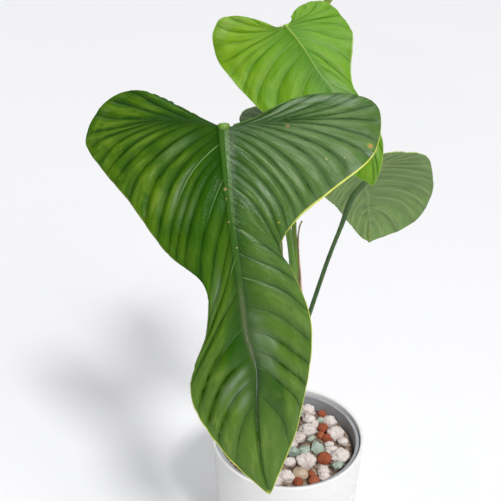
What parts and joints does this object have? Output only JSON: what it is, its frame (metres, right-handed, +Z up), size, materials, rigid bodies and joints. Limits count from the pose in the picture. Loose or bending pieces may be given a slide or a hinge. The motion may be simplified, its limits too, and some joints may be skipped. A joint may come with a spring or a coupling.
{
  "type": "potted philodendron expandilobum",
  "caption": "House plant with broad lobed leaves on long stalks, in a mineral substrate inside a plain round pot; a decorative potted plant for a table, shelf or floor.",
  "frame": {"origin": "centre of the pot's flat underside", "axes": "+Z up along the pot's axis; the large leaf hangs on the -Y side"},
  "size_m": [0.2604, 0.2794, 0.5525],
  "materials": {
    "cover_pot": "smooth satin white",
    "grow_pot": "matt grey",
    "stem": "matt green-brown bark",
    "substrate": "rough mixed mineral stones",
    "mature_leaf": "glossy dark green foliage",
    "young_leaf": "satin yellow-green foliage",
    "middle_leaf": "satin green foliage",
    "shaded_leaf": "satin dark green foliage",
    "new_leaf": "smooth olive-green rolled leaf",
    "cataphyll": "dry papery tan sheath"
  },
  "bodies": {
    "root": {"cover_pot": "cover_pot", "grow_pot": "grow_pot", "stem": "stem", "substrate": "substrate", "leaf_1": "mature_leaf", "leaf_2": "young_leaf", "leaf_3": "middle_leaf", "leaf_4": "shaded_leaf", "new_leaf": "new_leaf", "cataphyll": "cataphyll"}
  },
  "joints": []
}
